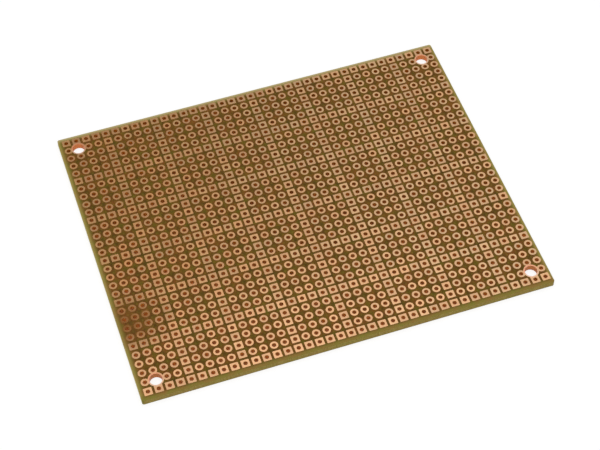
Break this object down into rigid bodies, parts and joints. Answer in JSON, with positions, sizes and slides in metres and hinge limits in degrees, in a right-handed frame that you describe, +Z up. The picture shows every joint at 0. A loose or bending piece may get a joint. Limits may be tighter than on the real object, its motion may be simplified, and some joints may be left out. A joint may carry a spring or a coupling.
{
  "type": "prototype board",
  "caption": "Bare double-sided prototyping board: flat glass-epoxy sheet with a square grid of plated holes, round and square copper lands, and a mounting hole near each corner.",
  "frame": {"origin": "centre of the rectangular outline, in the plane of the lower faces of the bottom lands", "axes": "+X along the 100 mm side, +Y along the 80 mm side, +Z up through the thickness"},
  "size_m": [0.1, 0.08, 0.0016],
  "materials": {
    "laminate": "bare woven-glass epoxy, olive brown, with pale sawn edges",
    "pad_copper": "bare pinkish copper, brushed dull",
    "mounting_copper": "bare pinkish copper, brushed dull"
  },
  "bodies": {
    "root": {"substrate": "laminate", "pad_row_01": "pad_copper", "pad_row_02": "pad_copper", "pad_row_03": "pad_copper", "pad_row_04": "pad_copper", "pad_row_05": "pad_copper", "pad_row_06": "pad_copper", "pad_row_07": "pad_copper", "pad_row_08": "pad_copper", "pad_row_09": "pad_copper", "pad_row_10": "pad_copper", "pad_row_11": "pad_copper", "pad_row_12": "pad_copper", "pad_row_13": "pad_copper", "pad_row_14": "pad_copper", "pad_row_15": "pad_copper", "pad_row_16": "pad_copper", "pad_row_17": "pad_copper", "pad_row_18": "pad_copper", "pad_row_19": "pad_copper", "pad_row_20": "pad_copper", "pad_row_21": "pad_copper", "pad_row_22": "pad_copper", "pad_row_23": "pad_copper", "pad_row_24": "pad_copper", "pad_row_25": "pad_copper", "pad_row_26": "pad_copper", "pad_row_27": "pad_copper", "pad_row_28": "pad_copper", "pad_row_29": "pad_copper", "pad_row_30": "pad_copper", "pad_row_31": "pad_copper", "mounting_pad_front_left": "mounting_copper", "mounting_pad_front_right": "mounting_copper", "mounting_pad_rear_left": "mounting_copper", "mounting_pad_rear_right": "mounting_copper"}
  },
  "joints": []
}
